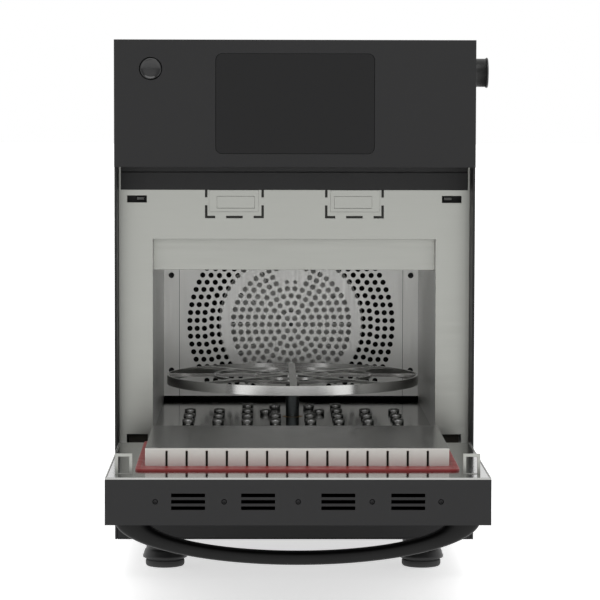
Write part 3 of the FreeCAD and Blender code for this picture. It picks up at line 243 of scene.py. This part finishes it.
def turned(name, outline, place, toward, coat, sides=64, form=None, sharp=40):
    """Turn an outline of (radius, distance) steps about an axis through place, toward a side."""
    turn = Vector(toward).to_track_quat("Z", "Y").to_matrix()
    verts, faces = [], []
    for step, (radius, along) in enumerate(outline):
        for i in range(sides):
            a = tau * i / sides
            r = form(step, radius, a) if form else radius
            verts.append(Vector(place) + turn @ Vector((r * cos(a), r * sin(a), along)) * MM)
    for step in range(len(outline) - 1):
        for i in range(sides):
            j = (i + 1) % sides
            faces.append([step * sides + i, step * sides + j,
                          (step + 1) * sides + j, (step + 1) * sides + i])
    faces.append(list(range(sides))[::-1])
    faces.append(list(range((len(outline) - 1) * sides, len(outline) * sides)))
    return new_piece(name, verts, faces, coat, sharp)


def islands(node):
    """The lowest and highest corners of each separate solid in a CAD node."""
    build = bmesh.new()
    build.from_mesh(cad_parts[node].data)
    bmesh.ops.remove_doubles(build, verts=build.verts, dist=1e-6)
    seen, found = set(), []
    for start in build.verts:
        if start in seen:
            continue
        seen.add(start)
        waiting, points = [start], []
        while waiting:
            vert = waiting.pop()
            points.append(vert.co.copy())
            for edge in vert.link_edges:
                other = edge.other_vert(vert)
                if other not in seen:
                    seen.add(other)
                    waiting.append(other)
        found.append((Vector([min(p[i] for p in points) for i in range(3)]),
                      Vector([max(p[i] for p in points) for i in range(3)])))
    build.free()
    return found


nylon, tree, shader = material("black_moulded_nylon", "#161616", 0.4, IOR=1.53)
relief(tree, shader, spread(tree, 0.8 * MM), 0.02 * MM)
puck_rubber, tree, shader = material("grey_rubber", "#343434", 0.7, IOR=1.52)
relief(tree, shader, spread(tree, 1.2 * MM), 0.04 * MM)
FOOT = ((0.1, 9.6), (23.9, 9.6), (24.6, 10), (24.9, 10.8), (24.9, 12), (24.3, 13.2), (23, 17.6),
        (22.3, 19), (21.5, 19.9), (21, 21), (21, 45), (0.1, 45))
PUCK = ((0.1, 0), (18.8, 0), (20.4, 0.4), (21.4, 1.5), (21.8, 3.2), (21.8, 6.4), (21.4, 7.2),
        (20, 7.5), (20, 9.6), (0.1, 9.6))
for number, (low, high) in enumerate(islands("feet")):
    under = Vector(((low.x + high.x) / 2, (low.y + high.y) / 2, 0))
    foot = turned(f"foot_{number}", FOOT, under, (0, 0, 1), nylon)
    puck = turned(f"foot_puck_{number}", PUCK, under, (0, 0, 1), puck_rubber)
    for piece, node, slot in ((foot, "feet", "foot_black"), (puck, "foot_pads", "foot_rubber")):
        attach(piece, "cabinet")
        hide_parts(node)


# ---- face plate and catch pads ---------------------------------------------------------------
# The plate round the chamber's mouth is stainless sheet brushed from side to side. Each stroke
# is fine and shallow, so it blurs reflections across the grain and leaves soft streaks along it.

# Strokes are about 0.1 mm wide on the sheet and drawn at 0.9 mm, so that they show.
STROKE, STROKE_DEPTH = 0.9 * MM, 0.012 * MM


def brushed(name, colour, roughness, stretch, contrast=0.06):
    made, tree, shader = material(name, colour, roughness, 1.0)
    strokes = spread(tree, STROKE, stretch, detail=4.0)
    vary(tree, shader, strokes, "Roughness", roughness - contrast, roughness + contrast)
    relief(tree, shader, strokes, STROKE_DEPTH)
    return made


ALONG_X, ALONG_Y, ALONG_Z = (70, 1, 1), (1, 70, 1), (1, 1, 70)
front_steel = brushed("brushed_stainless_front", "#a4a5a0", 0.34, ALONG_X)
finish_nodes(front_steel, "face_plate", "skirt", "door_strikers")
ease(0.3 * MM, "face_plate", "skirt")


def two_finishes(name, axis, border, before, after):
    """Steel with one (colour, roughness) before a border along an axis, and another past it."""
    made, tree, shader = material(name, before[0], before[1], 1.0)
    place = add(tree, "ShaderNodeSeparateXYZ",
                {"Vector": add(tree, "ShaderNodeTexCoord").outputs["Object"]})
    past = add(tree, "ShaderNodeMath", {0: place.outputs[axis], 1: border},
               operation="GREATER_THAN")
    shades = add(tree, "ShaderNodeMix", {"Factor": past.outputs["Value"]}, data_type="RGBA")
    shades.inputs[6].default_value = linear(before[0])
    shades.inputs[7].default_value = linear(after[0])
    tree.links.new(shades.outputs[2], shader.inputs["Base Color"])
    polish = add(tree, "ShaderNodeMapRange",
                 {"Value": past.outputs["Value"], "To Min": before[1], "To Max": after[1]})
    tree.links.new(polish.outputs["Result"], shader.inputs["Roughness"])
    relief(tree, shader, spread(tree, STROKE, ALONG_X, 4.0), STROKE_DEPTH)
    return made


# The brackets that the pads are riveted to lie behind the plate's seams; there the steel is
# painted dark grey, a painted shade for the dim space behind the plate, and left rough.
plate_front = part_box("face_plate")[0][1]
# Past the plate's front the colour turns dark: painted shade.
pad_steel_with_painted_shade = two_finishes("pad_steel_painted_shade_behind_plate", "Y", plate_front + 0.5 * MM,
                         ("#a4a5a0", 0.34), ("#464644", 0.65))
finish_nodes(pad_steel_with_painted_shade, "catch_pads")
ease(0.4 * MM, "catch_pads", "door_strikers")


# ---- chamber ---------------------------------------------------------------------------------
# The liner is one folded box of stainless sheet, with the perforated fan baffle and its two side
# strips screwed on at the back. Heat has dulled it a little, so it scatters light evenly.
chamber_steel = brushed("brushed_stainless_chamber", "#e6e6e4", 0.4, ALONG_Y)
back_steel = brushed("brushed_stainless_back", "#e2e2df", 0.42, ALONG_Z)
finish_nodes(chamber_steel, "chamber_liner", "heater_holders")
finish_nodes(back_steel, "rear_baffle", "rear_strips")

# The floor is a loose plate rolled mirror-bright.
mirror, tree, shader = material("mirror_stainless", "#9b9b99", 0.12, 1.0)
vary(tree, shader, spread(tree, STROKE, ALONG_X, 3.0), "Roughness", 0.09, 0.17)
finish_nodes(mirror, "floor_plate", "door_inner_plate")
ease(0.4 * MM, "door_inner_plate")


# ---- floor studs -----------------------------------------------------------------------------
# Short stainless pegs are pressed into the floor in rows. Each is turned with a dished top, so
# its rim shows as a dark ring round a pale middle.
bright_steel, tree, shader = material("turned_stainless", "#8f8f8e", 0.1, 1.0)
vary(tree, shader, spread(tree, 2 * MM), "Roughness", 0.08, 0.13)
for number, (low, high) in enumerate(islands("floor_studs")):
    radius, height = (high.x - low.x) / 2 / MM, (high.z - low.z) / MM
    peg = ((0.93, 0), (1, 0.12), (1, 0.86), (0.94, 0.96), (0.85, 1), (0.75, 0.97), (0.62, 0.86),
           (0.1, 0.82))
    middle = Vector(((low.x + high.x) / 2, (low.y + high.y) / 2, low.z))
    stud = turned(f"floor_stud_{number:02d}", [(radius * r, height * z) for r, z in peg], middle,
                  (0, 0, 1), bright_steel, sides=32)
    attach(stud, "cabinet")
    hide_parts("floor_studs")


# ---- rack and drive --------------------------------------------------------------------------
# Flat stainless bars are welded into a ring with a web across it, and the whole rack rests on a
# dark steel shaft that a geared motor turns. The drawn bars keep a smooth, bright skin.
rack_steel, tree, shader = material("drawn_stainless", "#c2c2c0", 0.2, 1.0)
vary(tree, shader, spread(tree, 60 * MM), "Roughness", 0.18, 0.23)
finish_nodes(rack_steel, "turntable_rack")
dark_steel, tree, shader = material("blued_steel", "#55595a", 0.32, 1.0)
vary(tree, shader, spread(tree, 3 * MM), "Roughness", 0.26, 0.4)
finish_nodes(dark_steel, "rack_shaft", "hinge_pins", "fan_shaft")
bronze, tree, shader = material("sintered_bronze", "#a9803f", 0.5, 1.0)
mottle(tree, shader, spread(tree, 0.6 * MM), "#7d5c2b", "#b98f4c")
finish_nodes(bronze, "shaft_bearing", "knob_bush")
enamel, tree, shader = material("motor_enamel", "#5b5d61", 0.38, IOR=1.5)
relief(tree, shader, spread(tree, 1.8 * MM), 0.03 * MM)
finish_nodes(enamel, "rack_gearmotor", "fan_motor")


# ---- fan and heaters -------------------------------------------------------------------------
# Behind the baffle a pale pressed fan turns in a steel box that heat has blackened. Above the
# chamber lie frosted quartz tubes, and a sheathed element arches round the fan.
sooted, tree, shader = material("heat_blackened_steel", "#232220", 0.6, 0.8)
mottle(tree, shader, spread(tree, 18 * MM), "#171615", "#33302c")
finish_nodes(sooted, "plenum_housing", "arch_heater")
pressed, tree, shader = material("pressed_aluminised_steel", "#dedfdb", 0.5, 1.0)
mottle(tree, shader, spread(tree, 40 * MM), "#d6d7d3", "#e4e4e1")
finish_nodes(pressed, "fan_impeller")
quartz, tree, shader = material("frosted_quartz", "#e6e6e2", 0.45, IOR=1.46)
relief(tree, shader, spread(tree, 0.9 * MM), 0.02 * MM)
finish_nodes(quartz, "upper_heaters")
zinc, tree, shader = material("zinc_plated_steel", "#b9bab6", 0.38, 1.0)
vary(tree, shader, spread(tree, 6 * MM), "Roughness", 0.3, 0.48)
finish_nodes(zinc, "hinge_knuckles", "thermocouple", "knob_spindle", "exhaust_spigot",
             "head_shelf", "motor_bracket")
# The wool is painted near black, a painted shade so that the hinge slots and cut-outs in front of
# it show dark inside.
rock_wool_painted_shade_black, tree, shader = material("rock_wool_painted_shade_black", "#16140f", 0.95)
fibres = spread(tree, 1.1 * MM, (6, 1, 1), 5.0)
mottle(tree, shader, fibres, "#0c0b09", "#262219")
relief(tree, shader, fibres, 0.6 * MM)
finish_nodes(rock_wool_painted_shade_black, "insulation", "plug_insulation")


# ---- socket screws ---------------------------------------------------------------------------
# Black-oxide button-head screws hold the door's skin and the chamber's rear strips. The domed
# head has a six-sided socket, and the oxide leaves it soft black.
black_oxide, tree, shader = material("black_oxide_steel", "#1c1c1d", 0.42, 0.6)
vary(tree, shader, spread(tree, 1.5 * MM), "Roughness", 0.34, 0.5)


def hex_socket(step, radius, angle):
    """The last three steps of a screw's outline are six-sided."""
    return radius * cos(pi / 6) / cos(angle % (pi / 3) - pi / 6) if step >= 6 else radius


for node, body, slot in (("door_screws", "door", "screw_black"),
                         ("strip_screws", "cabinet", "plain_steel")):
    for number, (low, high) in enumerate(islands(node)):
        radius, reach = (high.x - low.x) / 2 / MM, (high.y - low.y) / MM
        dome = min(1.6, reach * 0.8)
        outline = [(radius * 0.98, 0), (radius, reach - dome), (radius * 0.97, reach - dome * 0.6),
                   (radius * 0.85, reach - dome * 0.2), (radius * 0.66, reach),
                   (radius * 0.56, reach), (radius * 0.52, reach - 0.1),
                   (radius * 0.5, reach - dome * 0.9), (0.05, reach - dome * 0.95)]
        seat = Vector(((low.x + high.x) / 2, high.y, (low.z + high.z) / 2))
        screw = turned(f"{node}_{number}", outline, seat, (0, -1, 0), black_oxide, 36, hex_socket)
        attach(screw, body)
        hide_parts(node)


# ---- plug and gasket -------------------------------------------------------------------------
# A pressed stainless plug closes the chamber's mouth. Round it a red silicone seal is bonded to
# the inner plate: a thin web beside the plug, and a raised bead along its outer edge.

def rounded(low, high, radius, turns=8):
    """Points round a rectangle with rounded corners, the same number whatever its size."""
    corners = ((high[0] - radius, high[1] - radius), (low[0] + radius, high[1] - radius),
               (low[0] + radius, low[1] + radius), (high[0] - radius, low[1] + radius))
    points = []
    for quarter, (x, y) in enumerate(corners):
        for i in range(turns + 1):
            a = pi / 2 * (quarter + i / turns)
            points.append((x + radius * cos(a), y + radius * sin(a)))
    return points


# The comb round its side is brushed, and its face is rolled smoother. The face is also painted
# darker, a painted reflection of the dark chamber that it faces.
# Above the border the colour is painted dark grey: painted reflection.
plug_steel_painted_dark_face = two_finishes("plug_steel_painted_dark_face", "Z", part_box("door_plug")[1][2] - 0.5 * MM,
                          ("#dadad5", 0.44), ("#8a8a89", 0.24))
finish_nodes(plug_steel_painted_dark_face, "door_plug")
ease(0.4 * MM, "door_plug")
silicone, tree, shader = material("red_silicone", "#7c2020", 0.5, IOR=1.43)
vary(tree, shader, spread(tree, 14 * MM), "Roughness", 0.38, 0.52)
relief(tree, shader, spread(tree, 2 * MM), 0.05 * MM)
seal_low, seal_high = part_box("door_gasket")
plug_low, plug_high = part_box("door_plug")
BEAD_WIDE, SEAL_CORNER, WINDOW_CORNER, PLUG_GAP = 6 * MM, 9 * MM, 3 * MM, 0.5 * MM
bead_rise = seal_high[2] - seal_low[2]
# Each step is how far in from the outer edge, and how high above the inner plate.
bead = ((0, 0), (0, 0.62), (0.05, 0.74), (0.16, 0.8), (0.84, 0.8), (0.95, 0.72), (1, 0.5))
loops = []
for inward, rise in bead:
    step = BEAD_WIDE * inward
    loops.append([(x, y, seal_low[2] + bead_rise * rise) for x, y in
                  rounded((seal_low[0] + step, seal_low[1] + step),
                          (seal_high[0] - step, seal_high[1] - step), SEAL_CORNER - step)])
for rise in (0.5, 0):
    loops.append([(x, y, seal_low[2] + bead_rise * rise) for x, y in
                  rounded((plug_low[0] - PLUG_GAP, plug_low[1] - PLUG_GAP),
                          (plug_high[0] + PLUG_GAP, plug_high[1] + PLUG_GAP), WINDOW_CORNER)])
count = len(loops[0])
ring_faces = []
for here in range(len(loops)):
    there = (here + 1) % len(loops)
    for i in range(count):
        j = (i + 1) % count
        ring_faces.append([here * count + i, here * count + j, there * count + j,
                           there * count + i])
seal = new_piece("silicone_seal", [p for loop in loops for p in loop], ring_faces, silicone, 60)
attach(seal, "door")
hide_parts("door_gasket")


# ---- door handle -----------------------------------------------------------------------------
# The handle is one moulded half-oval bar screwed to the door from inside. Its section is a soft
# rounded block, so a single highlight runs along the middle of the bar.
grip, tree, shader = material("black_glass_filled_nylon", "#050505", 0.42, Specular_IOR_Level=0.22)
vary(tree, shader, spread(tree, 30 * MM), "Roughness", 0.38, 0.46)
relief(tree, shader, spread(tree, 0.8 * MM), 0.02 * MM)
handle_low, handle_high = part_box("door_handle")
middle_x, top_z = (handle_low[0] + handle_high[0]) / 2, handle_high[2]
middle_y, half_deep = (handle_low[1] + handle_high[1]) / 2, (handle_high[1] - handle_low[1]) / 2
outer_x, outer_z = (handle_high[0] - handle_low[0]) / 2, handle_high[2] - handle_low[2]
BAR_AT_ENDS, BAR_AT_MIDDLE = 33 * MM, 13.4 * MM
inner_x, inner_z = outer_x - BAR_AT_ENDS, outer_z - BAR_AT_MIDDLE
BENDS, EDGES, SQUARENESS = 96, 32, 2 / 3.2
verts, faces = [], []
for bend in range(BENDS + 1):
    turn = pi * bend / BENDS
    for edge in range(EDGES):
        a = tau * edge / EDGES
        across = copysign(abs(cos(a)) ** SQUARENESS, cos(a))
        deep = copysign(abs(sin(a)) ** SQUARENESS, sin(a))
        wide = (outer_x + inner_x) / 2 + across * (outer_x - inner_x) / 2
        tall = (outer_z + inner_z) / 2 + across * (outer_z - inner_z) / 2
        verts.append((middle_x + wide * cos(turn), middle_y + deep * half_deep,
                      top_z - tall * sin(turn)))
for bend in range(BENDS):
    for edge in range(EDGES):
        here, there = bend * EDGES, (bend + 1) * EDGES
        side = (edge + 1) % EDGES
        faces.append([here + edge, here + side, there + side, there + edge])
faces.append(list(range(EDGES))[::-1])
faces.append(list(range(BENDS * EDGES, (BENDS + 1) * EDGES)))
handle = new_piece("handle_bar", verts, faces, grip, 50)
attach(handle, "door")
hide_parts("door_handle")


# ---- screen, power button and side knob ------------------------------------------------------
# The touch screen is glass with a dark coating behind it. The power button is a glossy cap with
# a rounded, dished rim, and the knob on the side is a smooth turned grip with a small flange.
coated_glass, tree, shader = material("dark_coated_glass", "#0a0a0b", 0.34,
                                      Specular_IOR_Level=0.26)
vary(tree, shader, spread(tree, 60 * MM), "Roughness", 0.32, 0.38)
finish_nodes(coated_glass, "touch_glass")
ease(0.5 * MM, "touch_glass")
gloss, tree, shader = material("gloss_moulded_abs", "#101011", 0.16, IOR=1.53)
vary(tree, shader, spread(tree, 8 * MM), "Roughness", 0.13, 0.21)
finish_nodes(gloss, "button_housing")
cap_low, cap_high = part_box("power_button")
cap_middle = Vector(((cap_low[0] + cap_high[0]) / 2, cap_high[1], (cap_low[2] + cap_high[2]) / 2))
cap_radius, cap_deep = (cap_high[0] - cap_low[0]) / 2 / MM, (cap_high[1] - cap_low[1]) / MM
cap = turned("power_button_cap", [(0.1, 0), (cap_radius, 0), (cap_radius, cap_deep - 2.2),
                                  (cap_radius - 0.15, cap_deep - 1.1),
                                  (cap_radius - 0.6, cap_deep - 0.35),
                                  (cap_radius - 1.3, cap_deep),
                                  (cap_radius - 2.1, cap_deep - 0.2),
                                  (cap_radius - 2.8, cap_deep - 0.8),
                                  (cap_radius - 4, cap_deep - 1.1), (0.1, cap_deep - 1.3)],
             cap_middle, (0, -1, 0), gloss)
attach(cap, "power_button")
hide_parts("power_button")

KNOB_SIDES = 288
knob_low, knob_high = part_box("side_knob")
knob_middle = Vector((knob_low[0], (knob_low[1] + knob_high[1]) / 2,
                      (knob_low[2] + knob_high[2]) / 2))
knob_radius, knob_long = (knob_high[1] - knob_low[1]) / 2 / MM, (knob_high[0] - knob_low[0]) / MM
knob = turned("knob_grip", [(0.1, 0), (knob_radius - 1.4, 0), (knob_radius - 1.1, 0.5),
                            (knob_radius - 1.1, 1.2), (knob_radius - 1.1, knob_long - 3),
                            (knob_radius - 0.6, knob_long - 2.4), (knob_radius, knob_long - 1.9),
                            (knob_radius, knob_long - 0.8), (knob_radius - 0.6, knob_long - 0.1),
                            (knob_radius - 2.6, knob_long), (knob_radius - 3.4, knob_long - 0.6),
                            (0.1, knob_long - 0.6)],
              knob_middle, (1, 0, 0), nylon, sides=KNOB_SIDES)
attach(knob, "side_knob")
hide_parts("side_knob")


# ---- parts behind the panels -----------------------------------------------------------------
# Switches, levers, boards and supply sit out of sight, and the levers, fan and mains inlet just
# show through their cut-outs. Each keeps the finish that such a part is sold with.
acetal, tree, shader = material("white_acetal", "#c9c9c5", 0.4, IOR=1.48)
relief(tree, shader, spread(tree, 1 * MM), 0.02 * MM)
finish_nodes(acetal, "interlock_lever_left", "interlock_lever_right")
finish_nodes(nylon, "interlock_switches", "mains_inlet", "cooling_fan_frame", "cooling_fan_rotor")
solder_mask, tree, shader = material("green_solder_mask", "#0f4a24", 0.3, IOR=1.5)
mottle(tree, shader, spread(tree, 2.5 * MM), "#0c3d1e", "#14592d")
finish_nodes(solder_mask, "control_board")
grey_abs, tree, shader = material("grey_moulded_abs", "#6c6e70", 0.48, IOR=1.52)
relief(tree, shader, spread(tree, 1 * MM), 0.02 * MM)
finish_nodes(grey_abs, "display_module", "power_supply")
dome_rubber, tree, shader = material("grey_silicone", "#8a8a88", 0.6, IOR=1.43)
relief(tree, shader, spread(tree, 1 * MM), 0.03 * MM)
finish_nodes(dome_rubber, "return_dome")


# ---- measure and finish ----------------------------------------------------------------------
# The visual model's box is measured in metres.
low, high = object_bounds()
